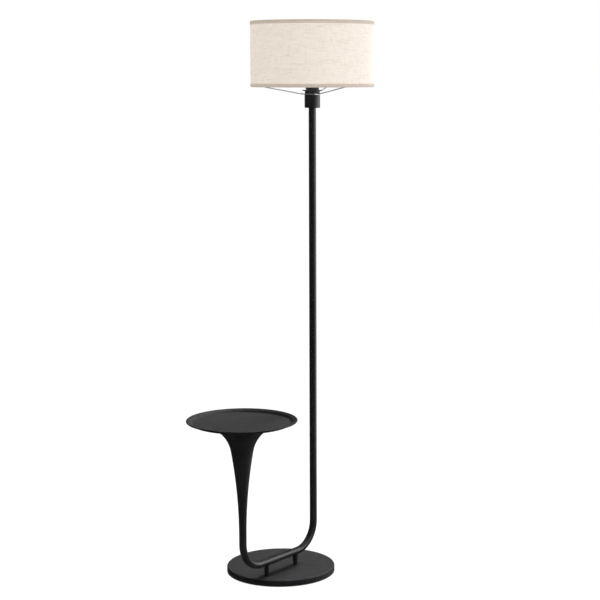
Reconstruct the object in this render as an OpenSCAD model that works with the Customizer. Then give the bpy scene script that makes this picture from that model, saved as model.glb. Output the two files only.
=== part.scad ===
// Floor lamp with a round tray table on one bent tube.
// The origin is the centre of the base, on the floor. +X runs from the tray to the pole
// and +Z is up. The bent tube stands in a plane beside the base's centre, at y = frame_y.

/* [Base] */
// Diameter of the base
base_d = 312; // [280:1:400]
// Height of the base's top face above the floor
base_h = 18; // [16:0.5:30]
// Sheet thickness of the base cover
cover_t = 1.2; // [0.8:0.1:2]
// Rounding of the cover's top edge
base_edge_r = 3; // [2.5:0.5:6]
// Height of the cover's lower edge above the floor
skirt_gap = 0.8; // [0.5:0.1:1.5]
// Thickness of the felt pad
felt_t = 2; // [2:0.5:4]
// Thickness of the closing plate
plate_t = 1.2; // [0.8:0.1:2]
// Diameter of the cast iron weight
weight_d = 270; // [245:5:275]
// Bevel of the weight's edges
weight_bevel = 2; // [1:0.5:3]
// Radial gap between the plate and the cover's skirt
plate_gap = 0.5; // [0.3:0.1:1]

/* [Base screws] */
// Thread diameter of the two screws through the posts
post_screw_d = 6; // [5:1:8]
// Head diameter of the post screws
post_head_d = 11; // [10:0.5:13]
// Head height of the post screws
post_head_h = 3.4; // [3:0.1:4]
// Width across the flats of the post screws' key socket
post_key_w = 4; // [3:1:5]
// Diameter of the washers under the post screws' heads
washer_d = 14; // [13:0.5:16]
// Thickness of the washers
washer_t = 1.2; // [0.8:0.1:2]
// Diameter of the counterbores that take heads and washers
counterbore_d = 17; // [16:0.5:20]
// Depth of the counterbores in the weight
counterbore_h = 5; // [4.8:0.2:7]
// Thread diameter of the four plate screws
plate_screw_d = 4; // [3:0.5:5]
// Head diameter of the plate screws
plate_head_d = 8; // [7:0.5:9]
// Head height of the plate screws
plate_head_h = 1.6; // [1:0.1:1.8]
// Length of the plate screws under the head
plate_screw_l = 9; // [6:0.5:11]
// Diameter of the circle that the plate screws stand on
plate_screw_pcd = 240; // [220:5:244]

/* [Posts] */
// Diameter of the posts
post_d = 14; // [12:0.5:18]
// Distance between the posts
post_spacing = 130; // [90:1:140]
// Distance from the start of the pole's bend back to the nearer post
post_inset = 9; // [8:0.5:25]
// Outer diameter of the threaded inserts in the tube
insert_d = 11; // [9:0.5:12]
// Length of the threaded inserts
insert_l = 12; // [8:0.5:14]

/* [Bent tube and pole] */
// Outer diameter of the tube and the pole
tube_d = 21; // [19:0.5:25]
// Wall of the tube and the pole
tube_wall = 1.5; // [1:0.1:2]
// Height of the low run's centreline above the floor
run_h = 57; // [50:1:80]
// Centreline radius of both bends
bend_r = 76; // [55:1:85]
// Place of the pole's axis along X
pole_x = 110; // [100:1:160]
// Place of the tray's axis along X
tray_x = -207; // [-260:1:-200]
// Distance of the tube's plane from the base's centre, along Y
frame_y = -34; // [-60:1:60]
// Height of the lower seam of the pole
seam_low_h = 560; // [400:10:700]
// Height of the upper seam of the pole
seam_high_h = 1105; // [900:5:1200]
// Height of the pole's top end
pole_h = 1335; // [1250:5:1600]
// Length of the spigots inside the seams
spigot_l = 60; // [40:5:80]
// Bore of the spigots
spigot_bore = 10; // [8:0.5:12]

/* [Cord outlet] */
// Height of the outlet above the floor, in the foot of the pole
outlet_h = 150; // [145:1:250]
// Direction of the outlet round the pole, from +X
outlet_turn = 40; // [0:5:90]
// Diameter of the grommet's neck
grommet_neck_d = 9; // [8:0.5:10]
// Diameter of the grommet's outer flange
grommet_flange_d = 14; // [12:0.5:16]
// How far the flange stands off the tube
grommet_proud = 1.8; // [1:0.1:3]
// Bore of the grommet
grommet_bore = 6.4; // [6:0.1:7]
// Diameter of the lead inside the tube
lead_d = 5; // [4:0.1:5.4]
// Bend radius of the lead behind the grommet
lead_bend_r = 10; // [9:0.5:12]

/* [Tray] */
// Diameter of the tray over its rolled edge
tray_d = 307; // [280:1:380]
// Height of the tray's rim above the floor
tray_rim_h = 488; // [440:0.5:600]
// Depth from the rim to the tray's floor
tray_depth = 9.3; // [7:0.1:16]
// Sheet thickness of the tray
tray_t = 1.2; // [0.8:0.1:2]
// Width of the tray's lip
lip_w = 8; // [6:0.5:14]
// Rise of the lip from its inner edge to the rim
lip_rise = 1; // [0.5:0.1:1.6]
// Radius of the rolled edge
edge_bead_r = 1.9; // [1:0.1:2.2]
// Radius between the tray's floor and its wall
cove_r = 8; // [5:0.5:10]
// Radius between the tray's wall and its lip
shoulder_r = 5; // [3:0.5:7]
// Slope of the tray's wall
wall_slope = 45; // [35:1:55]

/* [Trumpet] */
// Sheet thickness of the trumpet
trumpet_t = 1.5; // [1:0.1:2]
// Height above the floor at which the trumpet starts to flare
flare_h = 161.5; // [161:0.5:240]
// Turn of the slow lower flare
flare_turn = 10; // [8:0.05:11.5]
// Radius of the quick upper flare
flare_top_r = 92.5; // [80:0.5:105]
// Width of the flat flange under the tray
flange_w = 5; // [2:0.5:6]
// Length of the threaded plug between tube and trumpet
plug_l = 54; // [40:2:54]
// Diameter of the tie rod
tie_rod_d = 8; // [6:1:10]
// Diameter of the boss under the tray
boss_d = 18; // [16:1:24]
// Height of the boss with its foot
boss_h = 16; // [12:1:22]
// Diameter of the boss's welded foot
boss_foot_d = 60; // [40:2:80]
// Thickness of the boss's welded foot
boss_foot_t = 2; // [1.5:0.5:3]

/* [Lampholder] */
// Diameter of the lampholder cup
cup_d = 44; // [43:0.5:50]
// Height of the cup
cup_h = 36.5; // [36:0.5:45]
// Wall of the cup
cup_wall = 1.2; // [1:0.1:1.5]
// Rounding of the cup's lower edge
cup_edge_r = 2.5; // [2:0.5:5]
// Diameter of the threaded barrel
barrel_d = 38; // [37:0.5:40]
// Height of the barrel above the cup
barrel_proud = 21.5; // [20:0.5:25]
// Height of the barrel's shoulder inside the cup's mouth
shoulder_h = 10; // [6:0.5:14]
// Pitch of the barrel's thread
barrel_pitch = 2.5; // [2:0.25:3]
// Depth of the barrel's thread
barrel_thread = 0.5; // [0.3:0.1:0.8]
// Diameter of the hollow nipple
nipple_d = 10; // [9:0.5:11]
// Bore of the nipple
nipple_bore = 7; // [6:0.2:7.4]
// How deep the nipple goes into the pole's bush
nipple_depth = 18; // [12:1:18]
// Length of the pole's bush
bush_l = 20; // [19:1:30]
// Width across the flats of the nipple's nut
nut_w = 14; // [13:0.5:17]
// Height of the nipple's nut
nut_h = 3; // [2.5:0.5:4]
// Diameter of the insulating insert
insert_disc_d = 35; // [34:0.5:35.5]
// Height of the insulating insert
insert_disc_h = 10; // [8:0.5:11]
// Height of the insert's top face above the cup's bottom
insert_disc_top = 22; // [21:0.5:23]
// Inner diameter of the screw shell
shell_bore = 26.7; // [26.6:0.05:26.9]
// Sheet thickness of the screw shell
shell_t = 0.4; // [0.3:0.05:0.5]
// Height of the screw shell
shell_h = 27; // [24:0.5:30]
// Diameter of the terminal screws
terminal_screw_d = 3; // [2.5:0.5:4]

/* [Lock ring] */
// Diameter of the lock ring's flange
lock_flange_d = 57; // [52:0.5:60]
// Thickness of the flange
lock_flange_t = 2.8; // [1.5:0.1:3.2]
// Height of the ribbed skirt
lock_skirt_h = 6.9; // [6:0.1:9]
// Wall of the skirt
lock_skirt_t = 1.4; // [1.2:0.1:2]
// Number of grip ribs
lock_ribs = 24; // [12:2:36]
// Radius of a grip rib
lock_rib_r = 0.8; // [0.5:0.1:1]

/* [Shade] */
// Diameter of the shade over its trims
shade_d = 350; // [300:1:450]
// Height of the shade
shade_h = 183.5; // [150:0.5:280]
// Thickness of the linen, the liner and the trims, each
cloth_t = 0.5; // [0.3:0.1:0.8]
// Width of the trims outside
trim_w = 10; // [8:0.5:14]
// Width of the trims inside
trim_turn_w = 4.5; // [3:0.5:5]
// Diameter of the shade's wire rings
wire_d = 3; // [2.5:0.1:3.4]
// Diameter of the spider's arms
arm_d = 2.8; // [2:0.1:2.9]
// Distance of the wire rings from the shade's edges
ring_inset = 6.5; // [6.5:0.5:8]
// Outer diameter of the spider's hub
hub_d = 46; // [44:0.5:50]
// Thickness of the hub
hub_t = 3.6; // [2.4:0.1:4]
// Radial gap between the hub and the barrel
hub_gap = 0.6; // [0.3:0.1:1]
// Rise of the arms from the hub to the lower ring
arm_rise = 26.4; // [24:0.1:40]
// Rise of the arms' first stretch
arm_kick_rise = 2.4; // [1:0.1:4]
// Distance of the arms' kink from the axis
arm_kick_r = 40; // [34:1:60]
// Width of the flat arm ends that are welded to the hub
arm_tab_w = 5; // [4:0.5:7]
// Length of the flat arm ends
arm_tab_l = 12; // [8:0.5:16]
// Thickness of the flat arm ends
arm_tab_t = 1.8; // [1.2:0.1:2.2]
// Turn of the first arm about the axis
arm_turn = 19; // [0:1:119]

/* [Bulb] */
// Diameter of the globe
globe_d = 60; // [55:1:65]
// Length of the bulb
bulb_l = 108; // [100:1:112]
// Depth of the cap's thread
cap_thread = 0.8; // [0.6:0.1:1]
// Pitch of the cap's thread
cap_pitch = 3.63; // [3.6:0.01:3.66]
// Height of the cap's shell
cap_h = 22; // [20:0.5:24]
// Thickness of the globe's wall
globe_t = 1.5; // [1:0.1:2]
// Diameter of the bulb's neck
neck_d = 28; // [27:0.2:28.4]
// Height of the straight neck above the cap
neck_h = 9; // [8.5:0.5:12]
// Height of the cone from neck to globe
cone_h = 26; // [20:1:32]

/* [Fits] */
// Radial clearance of parts that turn or screw in each other
fit = 0.05; // [0.02:0.01:0.1]
// Gap between the turning shade and what holds it
seat_gap = 0.3; // [0.2:0.05:0.4]
// Radial clearance of the screws' through holes
screw_gap = 0.3; // [0.2:0.1:0.5]

/* [Hidden] */
$fn = 96;
// Overshoot of cuts through a face
eps = 1;

BLACK = [0.10, 0.10, 0.11];
IRON = [0.25, 0.25, 0.26];
STEEL = [0.72, 0.73, 0.75];
BRASS = [0.80, 0.65, 0.35];
RUBBER = [0.06, 0.06, 0.06];
FELT = [0.20, 0.20, 0.21];
LINEN = [0.93, 0.89, 0.83];
TRIM = [0.78, 0.72, 0.65];
CERAMIC = [0.90, 0.89, 0.85];
OPAL = [0.97, 0.96, 0.93];

// Base
weight_z = felt_t + plate_t;
cover_in_h = base_h - cover_t;
plate_d = base_d - 2 * (cover_t + plate_gap);
head_seat_z = weight_z + counterbore_h;
post_x = pole_x - bend_r - post_inset;
post_xs = [post_x - post_spacing, post_x];

// Bent tube
tube_r = tube_d / 2;
bore_r = tube_r - tube_wall;
bend_top = run_h + bend_r;
run_l = pole_x - tray_x - 2 * bend_r;
insert_z = run_h - sqrt(pow(tube_r, 2) - pow(insert_d / 2, 2));

// Tray and trumpet
tray_floor_z = tray_rim_h - tray_depth;
tray_under_z = tray_floor_z - tray_t;
lip_z = tray_rim_h - edge_bead_r;
lip_in_z = lip_z - lip_rise;
lip_in_r = tray_d / 2 - lip_w;
wall_rise = lip_in_z - tray_floor_z - (cove_r + shoulder_r) * (1 - cos(wall_slope));
wall_run = wall_rise / tan(wall_slope) + (cove_r + shoulder_r) * sin(wall_slope);
neck_z = max(flare_h, bend_top + plug_l / 2 + 1);
flare_join_z = tray_under_z - trumpet_t - flare_top_r * (1 - sin(flare_turn));
flare_low_r = (flare_join_z - neck_z) / sin(flare_turn);
flare_join_r = tube_r + flare_low_r * (1 - cos(flare_turn));
flare_end_r = flare_join_r + flare_top_r * cos(flare_turn);
// Turn by which the lower flare runs into the upper one, to make one sheet of both
flare_lap = 0.02;
plug_z = neck_z - plug_l / 2;

// Lampholder
cup_top = pole_h + cup_h;
cup_floor = pole_h + cup_wall;
barrel_top = cup_top + barrel_proud;
insert_top = pole_h + insert_disc_top;
insert_low = insert_top - insert_disc_h;
shell_clear_r = shell_bore / 2 + shell_t + 0.75;

// Lock ring and spider
hub_z = cup_top + seat_gap;
lock_z = hub_z + hub_t + seat_gap;
lock_flange_z = lock_z + lock_skirt_h;

// Shade
trim_r = shade_d / 2;
linen_r = trim_r - cloth_t;
liner_r = linen_r - cloth_t;
liner_in_r = liner_r - cloth_t;
ring_r = liner_in_r - wire_d / 2 - 2 * fit;
hub_mid_z = hub_z + hub_t / 2;
low_ring_z = hub_mid_z + arm_rise;
shade_z = low_ring_z - ring_inset;
shade_top = shade_z + shade_h;
top_ring_z = shade_top - ring_inset;

// Bulb
tongue_h = 3;
bulb_z = insert_top + tongue_h + seat_gap;
tip_r = 4.5;
tip_h = 2;
insulator_h = 4;
cap_z = bulb_z + 1 + insulator_h;
cap_top = cap_z + cap_h;
cap_r = shell_bore / 2 - fit;
cap_t = 0.5;
neck_top = cap_top + neck_h;
globe_c = bulb_z + bulb_l - globe_d / 2;
cone_top = neck_top + cone_h;
globe_seat_r = sqrt(pow(globe_d / 2, 2) - pow(globe_c - cone_top, 2));

function arc_points(c, r, a0, a1, n) =
    [for (i = [0:n]) let (a = a0 + (a1 - a0) * i / n) c + r * [cos(a), sin(a)]];

// Moves a piece to the axis of the pole, or of the tray
module at_pole() {
    translate([pole_x, frame_y, 0]) children();
}

module at_tray() {
    translate([tray_x, frame_y, 0]) children();
}

// A ring between two radii, from z0 to z1
module ring(r_out, r_in, z0, z1) {
    translate([0, 0, z0]) difference() {
        cylinder(r = r_out, h = z1 - z0);
        translate([0, 0, -eps]) cylinder(r = r_in, h = z1 - z0 + 2 * eps);
    }
}

// A disc whose upper edge is rounded
module round_disc(r, h, edge) {
    rotate_extrude($fn = 180) {
        square([r - edge, h]);
        square([r, h - edge]);
        translate([r - edge, h - edge]) circle(edge, $fn = 48);
    }
}

// A round rod between two points
module rod(a, b, r) {
    v = b - a;
    l = norm(v);
    translate(a) rotate([0, acos(v[2] / l), atan2(v[1], v[0])]) cylinder(r = r, h = l, $fn = 32);
}

// A torus about Z
module wire_ring(r, wire, z) {
    translate([0, 0, z]) rotate_extrude($fn = 180) translate([r, 0]) circle(d = wire, $fn = 32);
}

// V-shaped grooves round a cylinder, one for each turn of a thread
module thread_cuts(r, depth, pitch, z0, z1) {
    turns = floor((z1 - z0) / pitch);
    for (i = [0:turns - 1]) translate([0, 0, z0 + (i + 0.5) * pitch]) rotate_extrude()
        polygon([[r - depth, 0], [r + 0.1, depth + 0.1], [r + 0.1, -depth - 0.1]]);
}

// Places one child for each post
module each_post() {
    for (x = post_xs) translate([x, frame_y, 0]) children();
}

// Places one child for each screw of the closing plate
module each_plate_screw() {
    for (a = [45:90:315]) rotate(a) translate([plate_screw_pcd / 2, 0, 0]) children();
}

// A solid rod along the bent tube's centreline, its ends made longer by over
module bent_rod(r, over) {
    translate([tray_x, 0, bend_top]) cylinder(r = r, h = neck_z - bend_top + over);
    translate([tray_x + bend_r, 0, bend_top]) rotate([90, 0, 0]) rotate(180)
        rotate_extrude(angle = 90, $fn = 180) translate([bend_r, 0]) circle(r, $fn = 96);
    translate([tray_x + bend_r, 0, run_h]) rotate([0, 90, 0]) cylinder(r = r, h = run_l);
    translate([pole_x - bend_r, 0, bend_top]) rotate([90, 0, 0]) rotate(270)
        rotate_extrude(angle = 90, $fn = 180) translate([bend_r, 0]) circle(r, $fn = 96);
    translate([pole_x, 0, bend_top]) cylinder(r = r, h = seam_low_h - bend_top + over);
}

// The low run alone, longer than it is, to cut saddles with
module run_rod(r) {
    translate([tray_x, frame_y, run_h]) rotate([0, 90, 0]) cylinder(r = r, h = pole_x - tray_x);
}

// Turns a child's +Z to point out of the cord outlet
module at_outlet() {
    at_pole() translate([0, 0, outlet_h]) rotate([0, 90, outlet_turn]) children();
}

// A length of pole from z0 to z1
module pole_tube(z0, z1) {
    at_pole() ring(tube_r, bore_r, z0, z1);
}

module base_cover() {
    color(BLACK) difference() {
        intersection() {
            round_disc(base_d / 2, base_h, base_edge_r);
            translate([0, 0, skirt_gap]) cylinder(d = base_d + 2, h = base_h, $fn = 180);
        }
        round_disc(base_d / 2 - cover_t, cover_in_h, base_edge_r - cover_t);
        each_post() cylinder(r = post_screw_d / 2 + screw_gap, h = base_h + eps);
    }
}

module base_weight() {
    top = cover_in_h - weight_z;
    r = weight_d / 2;
    b = weight_bevel;
    color(IRON) difference() {
        translate([0, 0, weight_z]) rotate_extrude($fn = 180)
            polygon([[0, 0], [r - b, 0], [r, b], [r, top - b], [r - b, top], [0, top]]);
        each_post() cylinder(r = post_screw_d / 2 + screw_gap, h = base_h);
        each_post() cylinder(d = counterbore_d, h = head_seat_z);
        each_plate_screw() cylinder(r = plate_screw_d / 2, h = felt_t + plate_screw_l + 1);
    }
}

module base_plate() {
    color(BLACK) difference() {
        translate([0, 0, felt_t]) cylinder(d = plate_d, h = plate_t, $fn = 180);
        each_post() cylinder(d = counterbore_d, h = weight_z + eps);
        each_plate_screw() cylinder(r = plate_screw_d / 2 + screw_gap, h = weight_z + eps);
    }
}

module plate_screws() {
    color(STEEL) each_plate_screw() {
        translate([0, 0, felt_t]) cylinder(r = plate_screw_d / 2 - fit, h = plate_screw_l);
        difference() {
            translate([0, 0, felt_t - plate_head_h]) cylinder(d = plate_head_d, h = plate_head_h);
            for (a = [0, 90]) rotate(a) cube([4, 0.8, 2 * (felt_t - 0.6)], center = true);
        }
    }
}

module base_felt() {
    color(FELT) difference() {
        cylinder(d = plate_d - 2, h = felt_t, $fn = 180);
        each_post() translate([0, 0, -eps]) cylinder(d = counterbore_d + 1, h = felt_t + 2 * eps);
        each_plate_screw() translate([0, 0, -eps]) cylinder(d = plate_head_d + 3, h = felt_t + 2 * eps);
    }
}

module post_screws() {
    seat = head_seat_z - washer_t;
    key_r = post_key_w / 2 / cos(30);
    color(STEEL) each_post() difference() {
        union() {
            translate([0, 0, seat - post_head_h]) cylinder(d = post_head_d, h = post_head_h);
            translate([0, 0, seat]) cylinder(r = post_screw_d / 2 - fit,
                h = insert_z + insert_l - 1 - seat);
        }
        translate([0, 0, seat - post_head_h - eps]) cylinder(r = key_r, h = 2 + eps, $fn = 6);
    }
}

module post_washers() {
    color(STEEL) each_post()
        ring(washer_d / 2, post_screw_d / 2 + screw_gap, head_seat_z - washer_t, head_seat_z);
}

// A post from the cover up to a saddle that hugs the run
module post(x) {
    color(BLACK) difference() {
        translate([x, frame_y, base_h]) cylinder(d = post_d, h = run_h - base_h);
        run_rod(tube_r);
        translate([x, frame_y, 0]) cylinder(r = post_screw_d / 2 + screw_gap, h = run_h);
    }
}

module tube_inserts() {
    color(STEEL) each_post() ring(insert_d / 2, post_screw_d / 2, insert_z, insert_z + insert_l);
}

module frame_tube() {
    color(BLACK) difference() {
        translate([0, frame_y, 0]) bent_rod(tube_r, 0);
        translate([0, frame_y, 0]) bent_rod(bore_r, eps);
        each_post() cylinder(r = insert_d / 2 + fit, h = run_h);
        at_outlet() cylinder(r = grommet_neck_d / 2 + fit, h = tube_d);
    }
}

module cord_grommet() {
    lip_d = grommet_neck_d + 3;
    lip_t = 2;
    out = tube_r + grommet_proud;
    low = outlet_h - grommet_flange_d;
    color(RUBBER) difference() {
        union() {
            difference() {
                at_outlet() translate([0, 0, bore_r])
                    cylinder(d = grommet_flange_d, h = out - bore_r);
                at_pole() translate([0, 0, low]) cylinder(r = tube_r, h = 2 * grommet_flange_d);
            }
            at_outlet() translate([0, 0, bore_r - lip_t])
                cylinder(d = grommet_neck_d, h = out - bore_r + lip_t);
            intersection() {
                at_outlet() translate([0, 0, bore_r - lip_t]) cylinder(d = lip_d, h = lip_t + 1);
                at_pole() translate([0, 0, low]) cylinder(r = bore_r, h = 2 * grommet_flange_d);
            }
        }
        at_outlet() cylinder(d = grommet_bore, h = tube_d);
    }
}

// The lead turns from the grommet up into the pole and ends under the insert
module inner_lead() {
    rise_z = outlet_h + lead_bend_r;
    color(BLACK) at_pole() rotate(outlet_turn) {
        translate([lead_bend_r, 0, rise_z]) rotate([90, 0, 0]) rotate(180)
            rotate_extrude(angle = 90) translate([lead_bend_r, 0]) circle(d = lead_d, $fn = 32);
        translate([0, 0, rise_z]) cylinder(d = lead_d, h = insert_low - rise_z, $fn = 32);
    }
}

module pole_middle() {
    color(BLACK) pole_tube(seam_low_h, seam_high_h);
}

module pole_upper() {
    color(BLACK) pole_tube(seam_high_h, pole_h);
}

// The spigot inside a seam, grooved for its adhesive and beveled at both ends
module coupler(z) {
    r = bore_r - fit;
    half = spigot_l / 2;
    color(STEEL) at_pole() translate([0, 0, z]) difference() {
        rotate_extrude() polygon([[spigot_bore / 2, -half], [r - 1, -half], [r, 1 - half],
            [r, half - 1], [r - 1, half], [spigot_bore / 2, half]]);
        thread_cuts(r, 0.5, 3, 3, half - 3);
    }
}

module pole_bush() {
    color(STEEL) at_pole() ring(bore_r - fit, nipple_d / 2, pole_h - bush_l, pole_h);
}

// Sheet of thickness t outside the radius r, from a0 to a1 about the centre c
module arc_sheet(c, r, t, a0, a1) {
    reach = 2 * (r + t);
    translate(c) intersection() {
        difference() {
            circle(r + t, $fn = 720);
            circle(r, $fn = 720);
        }
        polygon([[0, 0], reach * [cos(a0), sin(a0)], reach * [cos(a1), sin(a1)]]);
    }
}

module trumpet() {
    top_c = [flare_end_r, tray_under_z - trumpet_t - flare_top_r];
    low_c = [tube_r + flare_low_r, neck_z];
    join_a = 180 - flare_turn;
    color(BLACK) at_tray() rotate_extrude($fn = 180) {
        arc_sheet(top_c, flare_top_r, trumpet_t, 90, join_a);
        arc_sheet(low_c, flare_low_r, trumpet_t, join_a - flare_lap, 180);
        translate([flare_end_r, tray_under_z - trumpet_t]) square([flange_w, trumpet_t]);
    }
}

module trumpet_plug() {
    r = bore_r - fit;
    color(STEEL) at_tray() translate([0, 0, plug_z]) difference() {
        rotate_extrude() polygon([[0, 0], [r - 1, 0], [r, 1], [r, plug_l - 1], [r - 1, plug_l],
            [0, plug_l]]);
        translate([0, 0, -eps]) cylinder(r = tie_rod_d / 2, h = plug_l + 2 * eps);
    }
}

module tie_rod() {
    z0 = plug_z + 4;
    z1 = tray_under_z - 3;
    color(STEEL) at_tray() translate([0, 0, z0]) cylinder(r = tie_rod_d / 2 - fit, h = z1 - z0);
}

module tray_boss() {
    color(STEEL) at_tray() difference() {
        union() {
            translate([0, 0, tray_under_z - boss_h]) cylinder(d = boss_d, h = boss_h);
            translate([0, 0, tray_under_z - boss_foot_t]) cylinder(d = boss_foot_d, h = boss_foot_t);
        }
        translate([0, 0, tray_under_z - boss_h - eps])
            cylinder(r = tie_rod_d / 2, h = boss_h + eps - 2);
    }
}

module tray() {
    s = wall_slope;
    shoulder_c = [lip_in_r, lip_in_z - shoulder_r];
    cove_c = [lip_in_r - wall_run, tray_floor_z + cove_r];
    bead_c = [tray_d / 2 - edge_bead_r, tray_rim_h - edge_bead_r];
    bead_a = 180 - asin(tray_t / 2 / edge_bead_r);
    outline = concat([[0, tray_floor_z]],
        arc_points(cove_c, cove_r, -90, s - 90, 8),
        arc_points(shoulder_c, shoulder_r, 90 + s, 90, 8),
        arc_points(bead_c, edge_bead_r, bead_a, -bead_a, 20),
        arc_points(shoulder_c, shoulder_r - tray_t, 90, 90 + s, 8),
        arc_points(cove_c, cove_r + tray_t, s - 90, -90, 8),
        [[0, tray_under_z]]);
    color(BLACK) at_tray() rotate_extrude($fn = 180) polygon(outline);
}

module holder_cup() {
    r = cup_d / 2;
    color(BLACK) at_pole() difference() {
        translate([0, 0, cup_top]) mirror([0, 0, 1]) round_disc(r, cup_h, cup_edge_r);
        translate([0, 0, cup_top + eps]) mirror([0, 0, 1])
            round_disc(r - cup_wall, cup_h - cup_wall + eps, cup_edge_r - cup_wall);
        translate([0, 0, pole_h - eps]) cylinder(r = nipple_d / 2, h = cup_wall + 2 * eps);
    }
}

module holder_nipple() {
    color(STEEL) at_pole() ring(nipple_d / 2 - fit, nipple_bore / 2, pole_h - nipple_depth,
        cup_floor + nut_h + 1);
}

module nipple_nut() {
    color(STEEL) at_pole() translate([0, 0, cup_floor]) difference() {
        cylinder(r = nut_w / 2 / cos(30), h = nut_h, $fn = 6);
        translate([0, 0, -eps]) cylinder(r = nipple_d / 2, h = nut_h + 2 * eps);
    }
}

// Places a child on each of the insert's two terminals
module each_terminal() {
    for (a = [0, 180]) rotate(a) translate([10, 0, 0]) children();
}

module holder_insert() {
    color(CERAMIC) at_pole() difference() {
        translate([0, 0, insert_low]) cylinder(r = insert_disc_d / 2 - fit, h = insert_disc_h);
        each_terminal() translate([0, 0, insert_low - eps])
            cylinder(r = terminal_screw_d / 2, h = 6 + eps);
    }
}

module terminal_screws() {
    color(BRASS) at_pole() each_terminal() difference() {
        union() {
            translate([0, 0, insert_low - 2]) cylinder(d = 2 * terminal_screw_d, h = 2);
            translate([0, 0, insert_low]) cylinder(r = terminal_screw_d / 2 - fit, h = 5);
        }
        translate([0, 0, insert_low - 2]) cube([3 * terminal_screw_d, 0.8, 1.6], center = true);
    }
}

module centre_contact() {
    strip_t = 0.4;
    color(BRASS) at_pole() translate([0, 0, insert_top]) {
        translate([-8, -2.5, 0]) cube([16, 5, strip_t]);
        cylinder(d = 5, h = tongue_h);
    }
}

module screw_shell() {
    r = shell_bore / 2;
    z1 = insert_top + shell_h;
    color(BRASS) at_pole() {
        ring(r + shell_t, r, insert_top, z1);
        for (z = [insert_top + 4:cap_pitch:z1 - 2]) translate([0, 0, z]) rotate_extrude()
            translate([r + shell_t, 0]) polygon([[-0.1, 0.7], [0.6, 0.2], [0.6, -0.2], [-0.1, -0.7]]);
    }
}

module holder_barrel() {
    r = barrel_d / 2;
    low = insert_low;
    color(BLACK) at_pole() difference() {
        union() {
            translate([0, 0, low]) cylinder(r = r, h = barrel_top - low);
            ring(cup_d / 2 - cup_wall - fit, r - 1, cup_top - shoulder_h, cup_top);
        }
        translate([0, 0, low - eps]) cylinder(d = insert_disc_d, h = insert_disc_h + eps);
        translate([0, 0, low]) cylinder(r = shell_clear_r, h = barrel_top - low + eps);
        thread_cuts(r, barrel_thread, barrel_pitch, cup_top + 2, barrel_top - 1);
    }
}

module lock_ring() {
    r_in = barrel_d / 2 + fit;
    skirt_r = r_in + lock_skirt_t;
    flange_r = lock_flange_d / 2;
    t = lock_flange_t;
    color(BLACK) at_pole() {
        difference() {
            union() {
                ring(skirt_r, r_in, lock_z, lock_flange_z + t);
                for (i = [0:lock_ribs - 1]) rotate(i * 360 / lock_ribs)
                    translate([skirt_r, 0, lock_z]) cylinder(r = lock_rib_r, h = lock_skirt_h, $fn = 24);
            }
            translate([0, 0, lock_z - eps]) cylinder(r = r_in, h = lock_skirt_h + t + 2 * eps);
        }
        translate([0, 0, lock_flange_z]) rotate_extrude()
            polygon([[skirt_r - 0.5, 0], [flange_r - 0.5, 0], [flange_r, 0.5], [flange_r, t - 0.3],
                [flange_r - 0.3, t], [skirt_r - 0.5, t]]);
    }
}

// Places three children evenly round the axis
module each_arm() {
    for (i = [0:2]) rotate(arm_turn + i * 120) children();
}

module shade_spider() {
    start = [hub_d / 2 - 2, 0, hub_mid_z];
    kick = [arm_kick_r, 0, hub_mid_z + arm_kick_rise];
    weld = [ring_r - wire_d / 2 - seat_gap, 0, low_ring_z];
    color(STEEL) at_pole() {
        ring(hub_d / 2, barrel_d / 2 + hub_gap, hub_z, hub_z + hub_t);
        each_arm() {
            translate([start[0], -arm_tab_w / 2, hub_mid_z - arm_tab_t / 2])
                cube([arm_tab_l, arm_tab_w, arm_tab_t]);
            rod(start, kick, arm_d / 2 - 0.2);
            rod(kick, weld, arm_d / 2);
            translate(kick) sphere(r = arm_d / 2, $fn = 32);
        }
    }
}

module shade_low_ring() {
    color(STEEL) at_pole() wire_ring(ring_r, wire_d, low_ring_z);
}

module shade_top_ring() {
    color(STEEL) at_pole() wire_ring(ring_r, wire_d, top_ring_z);
}

module shade_liner() {
    color(OPAL) at_pole() ring(liner_r, liner_in_r, shade_z + cloth_t, shade_top - cloth_t, $fn = 180);
}

module shade_fabric() {
    color(LINEN) at_pole() ring(linen_r, liner_r, shade_z + cloth_t, shade_top - cloth_t, $fn = 180);
}

// A cloth strip folded over the shade's lower edge
module trim() {
    ring(trim_r, linen_r, 0, trim_w, $fn = 180);
    ring(linen_r, liner_in_r, 0, cloth_t, $fn = 180);
    ring(liner_in_r, liner_in_r - cloth_t, 0, trim_turn_w, $fn = 180);
}

module trim_top() {
    color(TRIM) at_pole() translate([0, 0, shade_top]) mirror([0, 0, 1]) trim();
}

module trim_bottom() {
    color(TRIM) at_pole() translate([0, 0, shade_z]) trim();
}

module bulb_contact() {
    color(BRASS) at_pole() translate([0, 0, bulb_z]) cylinder(r1 = tip_r - 1, r2 = tip_r, h = tip_h);
}

module bulb_insulator() {
    z0 = bulb_z + 1;
    color(RUBBER) at_pole() difference() {
        translate([0, 0, z0]) cylinder(r1 = 6, r2 = cap_r - cap_thread - cap_t, h = insulator_h);
        translate([0, 0, z0 - eps]) cylinder(r = tip_r + fit, h = tip_h - 1 + eps);
    }
}

module bulb_cap() {
    color(STEEL) at_pole() difference() {
        translate([0, 0, cap_z]) cylinder(r = cap_r, h = cap_h);
        translate([0, 0, cap_z - eps]) cylinder(r = cap_r - cap_thread - cap_t, h = cap_h + 2 * eps);
        thread_cuts(cap_r, cap_thread, cap_pitch, cap_z + 1, cap_top - 2);
    }
}

module bulb_housing() {
    r = neck_d / 2;
    wall = 1.5;
    color(OPAL) at_pole() rotate_extrude() polygon([[0, cap_top], [r, cap_top], [r, neck_top],
        [globe_seat_r, cone_top], [globe_seat_r - wall, cone_top], [r - wall, neck_top],
        [r - wall, cap_top + wall], [0, cap_top + wall]]);
}

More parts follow.
